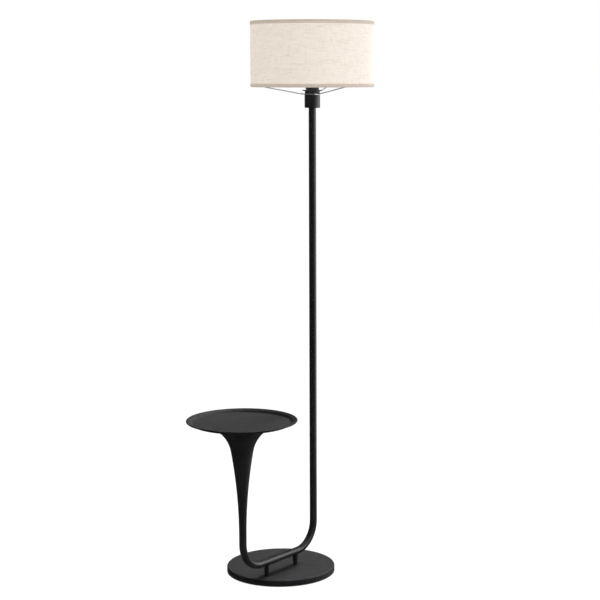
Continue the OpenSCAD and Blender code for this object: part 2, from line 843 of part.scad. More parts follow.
module led_board() {
    seat_r = sqrt(pow(globe_d / 2 - globe_t, 2) - pow(globe_c - cone_top, 2));
    color(CERAMIC) at_pole() translate([0, 0, cone_top]) cylinder(r = seat_r - 0.2, h = 1.6);
}

module bulb_globe() {
    r = globe_d / 2;
    color(OPAL) at_pole() difference() {
        translate([0, 0, globe_c]) sphere(r = r);
        translate([0, 0, globe_c]) sphere(r = r - globe_t);
        translate([0, 0, cone_top - globe_d]) cylinder(r = globe_d, h = globe_d);
    }
}

base_cover();
base_weight();
base_plate();
plate_screws();
base_felt();
post_screws();
post_washers();
post(post_xs[0]);  // post_tray_side
post(post_xs[1]);  // post_pole_side
tube_inserts();
frame_tube();
cord_grommet();
inner_lead();
pole_middle();
pole_upper();
coupler(seam_low_h);  // coupler_lower
coupler(seam_high_h);  // coupler_upper
pole_bush();
trumpet();
trumpet_plug();
tie_rod();
tray_boss();
tray();
holder_cup();
holder_nipple();
nipple_nut();
holder_insert();
terminal_screws();
centre_contact();
screw_shell();
holder_barrel();
lock_ring();
shade_spider();
shade_low_ring();
shade_top_ring();
shade_liner();
shade_fabric();
trim_top();
trim_bottom();
bulb_contact();
bulb_insulator();
bulb_cap();
bulb_housing();
led_board();
bulb_globe();
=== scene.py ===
"""Looks of a floor lamp with a round tray table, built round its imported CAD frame.

Every length is in metres, in the part's own frame: the origin is the centre of the base on the
floor, +X runs from the tray to the pole and +Z is up.
"""

import logging
import math
from collections.abc import Callable, Sequence
from dataclasses import dataclass, field
from enum import Enum

import bpy
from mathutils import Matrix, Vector


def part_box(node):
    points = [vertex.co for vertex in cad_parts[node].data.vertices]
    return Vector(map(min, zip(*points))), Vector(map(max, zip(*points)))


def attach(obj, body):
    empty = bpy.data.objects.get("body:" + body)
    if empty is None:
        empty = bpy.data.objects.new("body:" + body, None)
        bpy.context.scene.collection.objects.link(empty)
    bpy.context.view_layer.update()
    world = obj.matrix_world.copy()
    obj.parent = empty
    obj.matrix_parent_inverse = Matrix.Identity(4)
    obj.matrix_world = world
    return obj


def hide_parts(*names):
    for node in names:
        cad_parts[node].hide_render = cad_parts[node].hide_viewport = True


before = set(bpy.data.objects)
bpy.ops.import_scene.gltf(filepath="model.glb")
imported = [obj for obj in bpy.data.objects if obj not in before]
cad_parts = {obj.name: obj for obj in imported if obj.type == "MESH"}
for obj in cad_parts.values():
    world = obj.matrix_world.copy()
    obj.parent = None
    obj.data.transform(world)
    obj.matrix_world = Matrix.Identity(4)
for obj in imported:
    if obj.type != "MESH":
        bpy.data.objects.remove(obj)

LOG = logging.getLogger("lamp")
MM = 0.001
MERGE_WITHIN = 0.001 * MM

Colour = tuple[float, float, float]
Point = tuple[float, float, float]
Pair = tuple[float, float]
Outline = list[Pair]

WHITE: Colour = (1.0, 1.0, 1.0)
ORIGIN: Pair = (0.0, 0.0)


class Body(Enum):
    """The bodies of the lamp that move on their own."""

    ROOT = "root"
    LOCK_RING = "lock_ring"
    SHADE = "shade"
    BULB_TIP = "bulb_tip"
    BULB = "bulb"


# -------- material nodes


class Value:
    """A number that runs through a material's nodes, with the usual operators."""

    def __init__(self, graph: "Graph", socket: bpy.types.NodeSocket) -> None:
        """Wraps one output socket of a graph."""
        self.graph = graph
        self.socket = socket

    def maths(self, operation: str, *others: "Value | float", first: bool = True) -> "Value":
        """Adds one Math node.

        Args:
            operation: The Math node's operation.
            others: The other operands, values or numbers.
            first: Whether this value is the first operand.

        Returns:
            The node's result.
        """
        terms = [self, *others] if first else [*others, self]
        return self.graph.node("ShaderNodeMath", {"operation": operation}, dict(enumerate(terms)))

    def __add__(self, other: "Value | float") -> "Value":
        """Returns this value plus another, or a number plus this value."""
        return self.maths("ADD", other)

    __radd__ = __add__

    def __sub__(self, other: "Value | float") -> "Value":
        """Returns this value less another."""
        return self.maths("SUBTRACT", other)

    def __rsub__(self, other: float) -> "Value":
        """Returns a number less this value."""
        return self.maths("SUBTRACT", other, first=False)

    def __mul__(self, other: "Value | float") -> "Value":
        """Returns this value times another, or a number times this value."""
        return self.maths("MULTIPLY", other)

    __rmul__ = __mul__

    def sine(self) -> "Value":
        """Returns the sine of this value, in radians."""
        return self.maths("SINE")

    def size(self) -> "Value":
        """Returns this value without its sign."""
        return self.maths("ABSOLUTE")

    def larger(self, other: "Value | float") -> "Value":
        """Returns the larger of this value and another."""
        return self.maths("MAXIMUM", other)

    def smaller(self, other: "Value | float") -> "Value":
        """Returns the smaller of this value and another."""
        return self.maths("MINIMUM", other)

    def over(self, low: float, high: float) -> "Value":
        """Returns 0 below low and 1 above high, with a straight ramp between."""
        return self.graph.node(
            "ShaderNodeMapRange", {"clamp": True}, {"Value": self, "From Min": low, "From Max": high}
        )

    def blend(self, low: "Value | float", high: "Value | float") -> "Value":
        """Returns low where this value is 0 and high where it is 1."""
        return low + self * (high - low)


class Graph:
    """The nodes of one material or world."""

    def __init__(self, tree: bpy.types.NodeTree) -> None:
        """Empties a node tree and works on it."""
        self.tree = tree
        tree.nodes.clear()

    def node(
        self,
        kind: str,
        settings: dict[str, object] | None = None,
        sockets: dict[str | int, object] | None = None,
        out: str | int = 0,
    ) -> Value:
        """Adds one node.

        Args:
            kind: The node's type.
            settings: What is set on the node before its sockets.
            sockets: Values, numbers or colours for its inputs, by name or number.
            out: Which output is returned.

        Returns:
            The chosen output.
        """
        made = self.tree.nodes.new(kind)
        for name, setting in (settings or {}).items():
            setattr(made, name, setting)
        for name, given in (sockets or {}).items():
            socket = made.inputs[name]
            if isinstance(given, Value):
                self.tree.links.new(given.socket, socket)
            elif isinstance(given, tuple) and len(given) == 3 and socket.type == "RGBA":
                socket.default_value = (*given, 1.0)
            else:
                socket.default_value = given
        return Value(self, made.outputs[out] if made.outputs else None)

    def place(self) -> Value:
        """Returns the place on the piece, in metres."""
        return self.node("ShaderNodeTexCoord", out="Object")

    def parts(self, vector: Value) -> tuple[Value, Value, Value]:
        """Splits a vector into its three numbers."""
        split = self.node("ShaderNodeSeparateXYZ", sockets={0: vector}).socket.node
        return tuple(Value(self, split.outputs[i]) for i in range(3))

    def vector(self, x: Value | float, y: Value | float, z: Value | float = 0.0) -> Value:
        """Joins three numbers into a vector."""
        return self.node("ShaderNodeCombineXYZ", sockets={0: x, 1: y, 2: z})

    def noise(self, at: Value, pitch: float, detail: float, rough: float, seed: float = 0.0) -> Value:
        """Adds soft noise.

        Args:
            at: The place that it is read at.
            pitch: The size of its lumps, in the units of that place.
            detail: How many finer layers it has.
            rough: How strong the finer layers are.
            seed: Where in the fourth direction it is cut.

        Returns:
            The noise, about 0.5 on average.
        """
        return self.node(
            "ShaderNodeTexNoise",
            {"noise_dimensions": "4D"},
            {"Vector": at, "Scale": 1.0 / pitch, "Detail": detail, "Roughness": rough, "W": seed},
        )

    def mix(self, share: Value | float, low: Value | Colour, high: Value | Colour) -> Value:
        """Mixes two colours."""
        return self.node("ShaderNodeMix", {"data_type": "RGBA"}, {0: share, 6: low, 7: high}, out=2)

    def bump(self, height: Value, depth: float, strength: float = 1.0) -> Value:
        """Returns the normal of a surface with this relief, depth metres from 0 to 1."""
        return self.node(
            "ShaderNodeBump", sockets={"Strength": strength, "Distance": depth, "Height": height}
        )

    def finish(self, **sockets: object) -> None:
        """Adds the surface shader, its sockets named with underscores, and the output."""
        named = {name.replace("_", " "): given for name, given in sockets.items()}
        shader = self.node("ShaderNodeBsdfPrincipled", sockets=named)
        self.node("ShaderNodeOutputMaterial", sockets={"Surface": shader})


def new_material(name: str) -> tuple[bpy.types.Material, Graph]:
    """Returns a new material and its empty graph."""
    made = bpy.data.materials.new(name)
    made.use_nodes = True
    return made, Graph(made.node_tree)


@dataclass(frozen=True)
class Finish:
    """What a surface is made of; each kind paints its own nodes.

    A pitch is the size of a noise's lumps and depth is how deep the relief is.
    """

    name: str

    def paint(self, graph: Graph) -> None:
        """Adds the finish's nodes."""
        raise NotImplementedError

    def material(self) -> bpy.types.Material:
        """Returns the finish's material, made once."""
        made = bpy.data.materials.get(self.name)
        if made is None:
            made, graph = new_material(self.name)
            self.paint(graph)
        return made


@dataclass(frozen=True)
class PowderCoat(Finish):
    """Fine matt powder coat on steel: sandy grain over a soft orange peel.

    The pale dots are painted glints; specks sets how strongly they show, in glint_colour.
    """

    dark: Colour = (0.0036, 0.0035, 0.0042)
    light: Colour = (0.0066, 0.0064, 0.0074)
    roughness: float = 0.62
    specular: float = 0.28
    sheen: float = 0.004
    depth: float = 0.030 * MM
    glint_specks: float = 0.45
    glint_colour: Colour = (0.05, 0.05, 0.052)
    glint_pitch: float = 0.9 * MM
    peel_pitch: float = 1.3 * MM
    grain_pitch: float = 0.45 * MM
    cloud_pitch: float = 55 * MM
    rub_pitch: float = 19 * MM

    def paint(self, graph: Graph) -> None:
        """Adds grain, peel, a faint cloudiness, rubbed patches and a few pale dots of painted glint."""
        at = graph.place()
        peel = graph.noise(at, self.peel_pitch, 2.0, 0.45)
        grain = graph.noise(at, self.grain_pitch, 2.0, 0.6, 3.0)
        cloud = graph.noise(at, self.cloud_pitch, 3.0, 0.55, 7.0)
        # pale dots of painted glint, mixed into the colour below
        glint = graph.noise(at, self.glint_pitch, 0.0, 0.5, 11.0).over(0.80, 0.86)
        colour = graph.mix(cloud.over(0.30, 0.70), self.dark, self.light)
        colour = graph.mix(glint * self.glint_specks, colour, self.glint_colour)
        rub = graph.noise(at, self.rub_pitch, 4.0, 0.6, 13.0)
        rough = self.roughness + 0.12 * (cloud - 0.5) + 0.12 * (grain - 0.5) + 0.14 * (rub - 0.5)
        relief = peel * 0.6 + grain * 0.4
        graph.finish(
            Base_Color=colour,
            Roughness=rough,
            Normal=graph.bump(relief, self.depth),
            Specular_IOR_Level=self.specular,
            Sheen_Weight=self.sheen,
        )


@dataclass(frozen=True)
class Moulded(Finish):
    """Injection moulded plastic with a faint spark-eroded grain."""

    dark: Colour = (0.012, 0.012, 0.013)
    light: Colour = (0.018, 0.018, 0.019)
    roughness: float = 0.42
    specular: float = 0.4
    grain_pitch: float = 0.3 * MM
    flow_pitch: float = 9 * MM
    depth: float = 0.012 * MM

    def paint(self, graph: Graph) -> None:
        """Adds the grain and the flow marks of the mould."""
        at = graph.place()
        grain = graph.noise(at, self.grain_pitch, 3.0, 0.6)
        flow = graph.noise(at, self.flow_pitch, 2.0, 0.4, 5.0)
        graph.finish(
            Base_Color=graph.mix(flow.over(0.3, 0.7), self.dark, self.light),
            Roughness=self.roughness + 0.12 * (flow - 0.5) + 0.10 * (grain - 0.5),
            Normal=graph.bump(grain, self.depth),
            Specular_IOR_Level=self.specular,
        )


@dataclass(frozen=True)
class Metal(Finish):
    """Bare or plated metal with tool marks, dull patches and fine scratches.

    spread is how much rougher a dull patch is, and mark_stretch how much flatter than wide the
    marks are.
    """

    colour: Colour = (0.62, 0.62, 0.63)
    dull: Colour = (0.47, 0.47, 0.48)
    roughness: float = 0.26
    spread: float = 0.14
    mark_pitch: float = 0.25 * MM
    mark_stretch: float = 9.0
    patch_pitch: float = 7 * MM
    depth: float = 0.006 * MM

    def paint(self, graph: Graph) -> None:
        """Adds scratches, patches and relief."""
        at = graph.place()
        patch = graph.noise(at, self.patch_pitch, 3.0, 0.6, 2.0)
        x, y, z = graph.parts(at)
        drawn = graph.vector(x, y, z * self.mark_stretch)
        scratch = graph.noise(drawn, self.mark_pitch, 2.0, 0.7)
        worn = patch.over(0.35, 0.70)
        graph.finish(
            Base_Color=graph.mix(worn, self.colour, self.dull),
            Metallic=1.0,
            Roughness=self.roughness + self.spread * (patch - 0.4) + 0.12 * (scratch - 0.5),
            Normal=graph.bump(scratch, self.depth),
        )


@dataclass(frozen=True)
class CastIron(Finish):
    """Sand cast iron, dark and pitted, with rusty hollows."""

    colour: Colour = (0.055, 0.053, 0.052)
    rust: Colour = (0.085, 0.045, 0.028)
    sand_pitch: float = 1.6 * MM
    pit_pitch: float = 5 * MM
    rust_pitch: float = 22 * MM
    depth: float = 0.25 * MM

    def paint(self, graph: Graph) -> None:
        """Adds the sand's grain, pits and a little rust."""
        at = graph.place()
        sand = graph.noise(at, self.sand_pitch, 5.0, 0.65)
        pits = graph.noise(at, self.pit_pitch, 1.0, 0.5, 4.0).over(0.60, 0.72)
        rusty = graph.noise(at, self.rust_pitch, 4.0, 0.65, 9.0).over(0.52, 0.74)
        graph.finish(
            Base_Color=graph.mix(rusty * 0.7, self.colour, self.rust),
            Metallic=0.55 * (1.0 - rusty),
            Roughness=0.62 + 0.2 * rusty + 0.15 * (sand - 0.5),
            Normal=graph.bump(sand - pits * 0.8, self.depth),
        )


@dataclass(frozen=True)
class Linen(Finish):
    """Plain-woven linen: uneven threads both ways, slubs, knots and a soft sheen.

    The threads follow the piece's "weave" map, in metres round and up the shade. A share is how
    strongly a colour shows, and a small stretch draws a noise out along a thread. crossing is
    how sharply threads pass over each other. The gap colour is painted shade in the hollows
    between the threads, and edge paints that shade towards the folds, from fold_from to
    fold_full above and below the shade's middle height.
    """

    base: Colour = (0.855, 0.755, 0.655)
    pale: Colour = (0.925, 0.850, 0.765)
    gap_shade: Colour = (0.560, 0.455, 0.355)
    fleck: Colour = (0.560, 0.430, 0.310)
    pitch: float = 0.85 * MM
    edge: float = 0.0
    gap_shade_share: float = 0.36
    slub_share: float = 0.32
    knot_share: float = 0.55
    thread_pitch: float = 1.1 * MM
    thread_stretch: float = 0.045
    thread_sway: float = 0.5 * MM
    crossing: float = 5.0
    slub_pitch: float = 2.9 * MM
    slub_stretch: float = 0.11
    slub_range: Pair = (0.56, 0.76)
    knot_pitch: float = 3.4 * MM
    knot_stretch: float = 0.45
    cloud_pitch: float = 30 * MM
    middle_z: float = 1485.25 * MM
    fold_from: float = 81.8 * MM
    fold_full: float = 91.8 * MM
    depth: float = 0.16 * MM

    def threads(self, graph: Graph, u: Value, v: Value) -> tuple[Value, Value, Value]:
        """Draws the plain weave.

        Args:
            graph: The material's nodes.
            u: Place across the warp, in metres.
            v: Place across the weft, in metres.

        Returns:
            The relief from 0 to 1, and the thickness noise of warp and weft.
        """
        long = self.thread_stretch
        warp_n = graph.noise(graph.vector(u, v * long), self.thread_pitch, 2.0, 0.55)
        weft_n = graph.noise(graph.vector(u * long, v), self.thread_pitch, 2.0, 0.55, 6.0)
        step = math.pi / self.pitch
        across = ((u + (warp_n - 0.5) * self.thread_sway) * step).sine()
        up = ((v + (weft_n - 0.5) * self.thread_sway) * step).sine()
        over = (across * up * self.crossing + 0.5).larger(0.0).smaller(1.0)
        warp = across.size() * (0.55 + 0.45 * up.size())
        weft = up.size() * (0.55 + 0.45 * across.size())
        return over.blend(weft, warp), warp_n, weft_n

    def paint(self, graph: Graph) -> None:
        """Adds threads, slubs, knots, yarn cloudiness and painted shade in the hollows and folds."""
        u, v, _ = graph.parts(graph.node("ShaderNodeUVMap", {"uv_map": "weave"}))
        relief, warp_n, weft_n = self.threads(graph, u, v)
        long, band = self.slub_stretch, self.slub_range
        slub_up = graph.noise(graph.vector(u, v * long), self.slub_pitch, 2.0, 0.55, 12.0)
        slub_round = graph.noise(graph.vector(u * long, v), self.slub_pitch, 2.0, 0.55, 15.0)
        slub = slub_up.over(*band).larger(slub_round.over(*band))
        thin = (1.0 - slub_up).over(*band).larger((1.0 - slub_round).over(*band))
        drawn = graph.vector(u, v * self.knot_stretch)
        knot = graph.noise(drawn, self.knot_pitch, 1.0, 0.4, 18.0).over(0.73, 0.80)
        cloud = graph.noise(graph.vector(u, v), self.cloud_pitch, 3.0, 0.5, 21.0)
        yarn = (warp_n + weft_n) * 0.5 + 0.25 * (cloud - 0.5) + 0.30 * (thin - slub)
        colour = graph.mix(yarn.over(0.25, 0.75), self.base, self.pale)
        # painted shade in the hollows between the threads
        colour = graph.mix((1.0 - relief).over(0.45, 0.95) * self.gap_shade_share, colour, self.gap_shade)
        colour = graph.mix(slub * self.slub_share + knot * self.knot_share, colour, self.fleck)
        # painted shade towards the folds, in the gap colour
        if self.edge:
            turned = (v - self.middle_z).size().over(self.fold_from, self.fold_full)
            colour = graph.mix(turned * self.edge, colour, self.gap_shade)
        graph.finish(
            Base_Color=colour,
            Roughness=0.86 - 0.08 * relief,
            Normal=graph.bump(relief * 0.7 + slub * 0.9, self.depth, 0.8),
            Specular_IOR_Level=0.03,
            Sheen_Weight=0.03,
        )


@dataclass(frozen=True)
class Tape(Linen):
    """The linen tape round the shade's edges: denser and browner, with painted shade at its fold."""

    base: Colour = (0.580, 0.500, 0.415)
    pale: Colour = (0.680, 0.605, 0.520)
    # painted shade between the threads and at the fold
    gap_shade: Colour = (0.340, 0.270, 0.200)
    pitch: float = 0.62 * MM
    # how strongly painted shade darkens the tape towards its fold
    edge: float = 0.30


@dataclass(frozen=True)
class Liner(Finish):
    """White styrene film, smooth inside, on which the linen is laminated."""

    colour: Colour = (0.86, 0.85, 0.82)
    # a random cloudy tone of the laminate, not shade
    shadow: Colour = (0.78, 0.76, 0.72)
    cloud_pitch: float = 26 * MM
    skin_pitch: float = 0.8 * MM
    depth: float = 0.25 * MM

    def paint(self, graph: Graph) -> None:
        """Adds the film's slight ripple and the cloudy laminate."""
        at = graph.place()
        cloud = graph.noise(at, self.cloud_pitch, 3.0, 0.6)
        skin = graph.noise(at, self.skin_pitch, 2.0, 0.5, 4.0)
        graph.finish(
            Base_Color=graph.mix(cloud.over(0.35, 0.75), self.colour, self.shadow),
            Roughness=0.44 + 0.12 * (cloud - 0.5),
            Normal=graph.bump(cloud * 0.8 + skin * 0.2, self.depth, 0.5),
            Specular_IOR_Level=0.4,
        )


@dataclass(frozen=True)
class Felt(Finish):
    """Pressed wool felt: short matted fibres."""

    dark: Colour = (0.020, 0.020, 0.021)
    light: Colour = (0.060, 0.060, 0.062)
    fibre_pitch: float = 0.7 * MM
    fibre_stretch: float = 0.2
    depth: float = 0.5 * MM

    def paint(self, graph: Graph) -> None:
        """Adds matted fibres in two directions."""
        x, y, z = graph.parts(graph.place())
        long, pitch = self.fibre_stretch, self.fibre_pitch
        one = graph.noise(graph.vector(x, y * long, z), pitch, 3.0, 0.6)
        two = graph.noise(graph.vector(x * long, y, z), pitch, 3.0, 0.6, 3.0)
        mat = one.larger(two)
        graph.finish(
            Base_Color=graph.mix(mat.over(0.42, 0.72), self.dark, self.light),
            Roughness=0.92 + 0.05 * (mat - 0.5),
            Normal=graph.bump(mat, self.depth),
            Specular_IOR_Level=0.1,
            Sheen_Weight=0.25,
        )


@dataclass(frozen=True)
class Opal(Finish):
    """Milky diffuser of the bulb, satin and slightly cloudy."""

    colour: Colour = (0.90, 0.895, 0.875)
    cloudy: Colour = (0.84, 0.83, 0.80)
    cloud_pitch: float = 14 * MM
    skin_pitch: float = 0.35 * MM
    depth: float = 0.004 * MM

    def paint(self, graph: Graph) -> None:
        """Adds a faint cloudiness and a satin skin."""
        at = graph.place()
        cloud = graph.noise(at, self.cloud_pitch, 3.0, 0.5)
        skin = graph.noise(at, self.skin_pitch, 2.0, 0.5, 8.0)
        graph.finish(
            Base_Color=graph.mix(cloud.over(0.35, 0.70), self.colour, self.cloudy),
            Roughness=0.30 + 0.10 * (cloud - 0.5) + 0.06 * (skin - 0.5),
            Normal=graph.bump(skin, self.depth),
        )


POWDER = PowderCoat("powder_coat_black")
POWDER_DARK = PowderCoat(
    "powder_coat_tube", (0.0050, 0.0050, 0.0058), (0.0085, 0.0085, 0.0098), 0.36, 0.42, 0.0,
    0.007 * MM, 0.12,
)
IRON = CastIron("cast_iron_sand")
ZINC = Metal("zinc_plated_steel", (0.56, 0.57, 0.59), (0.44, 0.45, 0.46), 0.34)
WIRE = Metal("bright_drawn_wire", (0.50, 0.50, 0.52), (0.38, 0.38, 0.40), 0.30, 0.10, 0.18 * MM)
BRASS = Metal("brass_turned", (0.78, 0.58, 0.27), (0.62, 0.44, 0.19), 0.28)
CAP = Metal("bulb_cap_nickel", (0.66, 0.65, 0.62), (0.52, 0.51, 0.48), 0.27)
FELT = Felt("felt_charcoal")
RUBBER = Moulded("rubber_black", (0.010, 0.010, 0.010), (0.016, 0.016, 0.016), 0.62, 0.3)
LEAD = Moulded("lead_jacket_black", (0.012, 0.012, 0.012), (0.020, 0.020, 0.020), 0.50, 0.35)
HOLDER = Moulded("holder_plastic_black", (0.0085, 0.0085, 0.0095), (0.0140, 0.0140, 0.0150), 0.40, 0.42)
CERAMIC = Moulded("insert_ceramic", (0.74, 0.72, 0.67), (0.82, 0.80, 0.76), 0.34, 0.5, 0.8 * MM)
INSULATOR = Moulded("cap_glass_black", (0.012, 0.012, 0.014), (0.020, 0.020, 0.022), 0.16, 0.5)
HOUSING = Moulded("bulb_housing_white", (0.76, 0.76, 0.74), (0.82, 0.82, 0.80), 0.38, 0.45)
BOARD = Moulded("led_board_white", (0.72, 0.73, 0.72), (0.80, 0.81, 0.80), 0.36, 0.5, 1.2 * MM)
LINEN = Linen("linen_natural")
TAPE = Tape("linen_tape")
LINER = Liner("liner_styrene")
OPAL = Opal("opal_globe")


# -------- modelling


def polar(centre: Pair, radius: float, turn: float) -> Pair:
    """Returns the point that lies a radius off a centre, at a turn in degrees."""
    angle = math.radians(turn)
    return centre[0] + radius * math.cos(angle), centre[1] + radius * math.sin(angle)


def arc(centre: Pair, radius: float, start: float, end: float, steps: int) -> Outline:
    """Returns the points of an arc.

    Args:
        centre: Its centre, as radius and height.
        radius: Its radius.
        start: Where it starts, in degrees.
        end: Where it ends, in degrees.
        steps: Its number of chords.

    Returns:
        steps + 1 points.
    """
    return [polar(centre, radius, start + (end - start) * i / steps) for i in range(steps + 1)]


class Bench:
    """Models one piece at a time with Blender's own operators."""

    @staticmethod
    def clear() -> None:
        """Leaves edit mode and selects nothing."""
        if bpy.context.mode != "OBJECT":
            bpy.ops.object.mode_set(mode="OBJECT")
        bpy.ops.object.select_all(action="DESELECT")

    def hold(self, piece: bpy.types.Object) -> None:
        """Selects one piece alone, in object mode, and makes it the active one."""
        self.clear()
        piece.select_set(True)
        bpy.context.view_layer.objects.active = piece

    @staticmethod
    def edit_all() -> None:
        """Goes into edit mode with all of the active piece selected."""
        bpy.ops.object.mode_set(mode="EDIT")
        bpy.ops.mesh.select_all(action="SELECT")

    @staticmethod
    def named(name: str) -> bpy.types.Object:
        """Names the active object and its mesh and puts its place into its mesh."""
        piece = bpy.context.object
        piece.name = name
        piece.data.name = name
        bpy.ops.object.transform_apply(location=True, rotation=True, scale=True)
        return piece

    def draw(self, name: str, points: Sequence[Point]) -> bpy.types.Object:
        """Draws a line of edges and stays in edit mode with its last point selected.

        Args:
            name: The piece's name.
            points: The line's points.

        Returns:
            The piece.
        """
        self.clear()
        bpy.ops.mesh.primitive_plane_add(size=1 * MM, location=points[0])
        piece = self.named(name)
        self.edit_all()
        bpy.ops.mesh.merge(type="CENTER")
        for before, after in zip(points, points[1:]):
            step = Vector(after) - Vector(before)
            bpy.ops.mesh.extrude_region_move(TRANSFORM_OT_translate={"value": step})
        return piece

    @staticmethod
    def close() -> None:
        """Merges the doubles of all that is in edit mode and turns its faces outwards."""
        bpy.ops.mesh.select_all(action="SELECT")
        bpy.ops.mesh.remove_doubles(threshold=MERGE_WITHIN)
        bpy.ops.mesh.normals_make_consistent(inside=False)

    def turned(
        self,
        name: str,
        outline: Outline,
        axis: Pair,
        steps: int,
        start: float = 0.0,
        sweep: float = 360.0,
        closed: bool = True,
        smooth: float = 35.0,
    ) -> bpy.types.Object:
        """Spins an outline of radius and height about an upright axis.

        Args:
            name: The piece's name.
            outline: Its points, as radius and height.
            axis: Where the axis stands.
            steps: Steps of the spin.
            start: Where the spin starts, in degrees from +X.
            sweep: How far it goes round to the left, in degrees.
            closed: Whether the last point runs back to the first.
            smooth: Edges flatter than this many degrees are shaded smooth.

        Returns:
            The piece, in object mode.
        """
        ring = [*outline, outline[0]] if closed else outline
        piece = self.draw(name, [(*polar(axis, r, start), z) for r, z in ring])
        bpy.ops.mesh.select_all(action="SELECT")
        bpy.ops.mesh.spin(
            steps=steps, angle=-math.radians(sweep), center=(*axis, 0.0), axis=(0.0, 0.0, 1.0)
        )
        self.close()
        if sweep < 360.0 and closed:
            bpy.ops.mesh.fill_holes(sides=0)
            self.close()
        self.hold(piece)
        bpy.ops.object.shade_smooth_by_angle(angle=math.radians(smooth))
        return piece

    def pick(self, piece: bpy.types.Object, test: Callable[[Vector], bool]) -> None:
        """Goes into edit mode and selects the vertices of a piece whose place passes a test."""
        self.hold(piece)
        bpy.ops.object.mode_set(mode="EDIT")
        bpy.ops.mesh.select_mode(type="VERT")
        bpy.ops.mesh.select_all(action="DESELECT")
        bpy.ops.object.mode_set(mode="OBJECT")
        for vertex in piece.data.vertices:
            vertex.select = test(vertex.co)
        bpy.ops.object.mode_set(mode="EDIT")
        bpy.ops.mesh.select_mode(type="VERT")

    def modify(self, piece: bpy.types.Object, kind: str, **settings: object) -> None:
        """Adds a modifier to a piece and applies it."""
        self.hold(piece)
        modifier = piece.modifiers.new(kind.lower(), kind)
        for name, setting in settings.items():
            setattr(modifier, name, setting)
        bpy.ops.object.modifier_apply(modifier=modifier.name)

    def join(self, first: bpy.types.Object, *others: bpy.types.Object) -> bpy.types.Object:
        """Joins pieces into the first one and returns it."""
        self.hold(first)
        for piece in others:
            piece.select_set(True)
        bpy.ops.object.join()
        return first

    def copied(self, piece: bpy.types.Object, axis: Pair, turns: Sequence[float]) -> bpy.types.Object:
        """Copies a piece round an upright axis and joins the copies to it.

        Args:
            piece: The piece.
            axis: Where the axis stands.
            turns: The copies' turns from the piece, in degrees.

        Returns:
            The piece with its copies.
        """
        copies = []
        for turn in turns:
            self.hold(piece)
            bpy.ops.object.duplicate(linked=False)
            copy = bpy.context.object
            self.edit_all()
            bpy.ops.transform.rotate(
                value=math.radians(turn), orient_axis="Z", center_override=(*axis, 0.0)
            )
            self.clear()
            copies.append(copy)
        return self.join(piece, *copies)

    @staticmethod
    def lay_weave(piece: bpy.types.Object, axis: Pair, radius: float) -> None:
        """Gives a piece round an axis its weave map, in metres round at this radius and up."""
        mesh = piece.data
        weave = mesh.uv_layers.new(name="weave")
        for face in mesh.polygons:
            middle = math.atan2(face.center.y - axis[1], face.center.x - axis[0])
            for loop in face.loop_indices:
                place = mesh.vertices[mesh.loops[loop].vertex_index].co
                x, y = place.x - axis[0], place.y - axis[1]
                turn = math.atan2(y, x)
                turn += round((middle - turn) / math.tau) * math.tau
                outside = math.hypot(x, y) - radius
                weave.data[loop].uv = (turn * radius, place.z - outside)


BENCH = Bench()


def dress(piece: bpy.types.Object, finish: Finish) -> None:
    """Gives a piece one finish all over."""
    piece.data.materials.clear()
    piece.data.materials.append(finish.material())


def hand_in(piece: bpy.types.Object, body: Body, finish: Finish, slot: str, *nodes: str) -> None:
    """Dresses a new piece, hangs it on its body and hides the CAD nodes that it stands for.

    Args:
        piece: The piece.
        body: The body that it rides on.
        finish: What it is made of.
        slot: Not used.
        nodes: The CAD nodes that it stands for.
    """
    dress(piece, finish)
    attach(piece, body.value)
    if nodes:
        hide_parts(*nodes)
    LOG.info("made %s: %d faces", piece.name, len(piece.data.polygons))


def keeping(finishes: dict[str, Finish]) -> dict[str, Finish]:
    """Makes the default of an assembly's kept field."""
    return field(default_factory=lambda: dict(finishes))


@dataclass
class Assembly:
    """A group of pieces; CAD nodes that keep their shape are listed with their finish."""

    kept: dict[str, Finish] = field(default_factory=dict)

    def build(self) -> None:
        """Models the new pieces."""

    def dress_kept(self) -> None:
        """Gives the CAD nodes that keep their shape their finish."""
        for node, finish in self.kept.items():
            dress(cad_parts[node], finish)
            LOG.info("dressed %s in %s", node, finish.name)


# -------- sub-assemblies


@dataclass
class Base(Assembly):
    """The round foot: cover, iron weight, closing plate, screws and felt.

    edge_low and edge_high are how far the felt's lower and upper edge are rounded off.
    """

    felt_r: float = 153.3 * MM
    felt_t: float = 2.0 * MM
    edge_low: float = 0.6 * MM
    edge_high: float = 0.1 * MM
    post_hole_r: float = 9.0 * MM
    screw_hole_r: float = 5.5 * MM
    screw_circle_r: float = 120.0 * MM
    screw_turns: tuple[float, ...] = (45.0, 135.0, 225.0, 315.0)
    post_xs: Pair = (-105 * MM, 25 * MM)
    frame_y: float = -34 * MM
    kept: dict[str, Finish] = keeping({
        "base_cover": POWDER, "base_weight": IRON, "base_plate": ZINC, "plate_screws": ZINC,
        "post_screws": ZINC, "post_washers": ZINC,
    })

    def build(self) -> None:
        """Models the felt pad with its holes and its soft edge."""
        low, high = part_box("base_felt")
        rim, soft, crisp = self.felt_r, self.edge_low, self.edge_high
        outline = [(0.0, low.z), *arc((rim - soft, low.z + soft), soft, -90, 0, 3)]
        outline += [(rim, high.z - crisp), (rim - crisp, high.z), (0.0, high.z)]
        felt = BENCH.turned("felt_pad", outline, ORIGIN, 160, closed=False)
        holes = [(x, self.frame_y, self.post_hole_r) for x in self.post_xs]
        screws = [polar(ORIGIN, self.screw_circle_r, turn) for turn in self.screw_turns]
        holes += [(x, y, self.screw_hole_r) for x, y in screws]
        for x, y, radius in holes:
            BENCH.clear()
            bpy.ops.mesh.primitive_cylinder_add(
                vertices=48, radius=radius, depth=4 * self.felt_t, location=(x, y, self.felt_t / 2)
            )
            punch = BENCH.named("felt_punch")
            BENCH.modify(felt, "BOOLEAN", operation="DIFFERENCE", object=punch, solver="EXACT")
            bpy.data.objects.remove(punch)
        hand_in(felt, Body.ROOT, FELT, "felt", "base_felt")
        cut = math.pi * (self.felt_r**2 - sum(r**2 for _, _, r in holes))


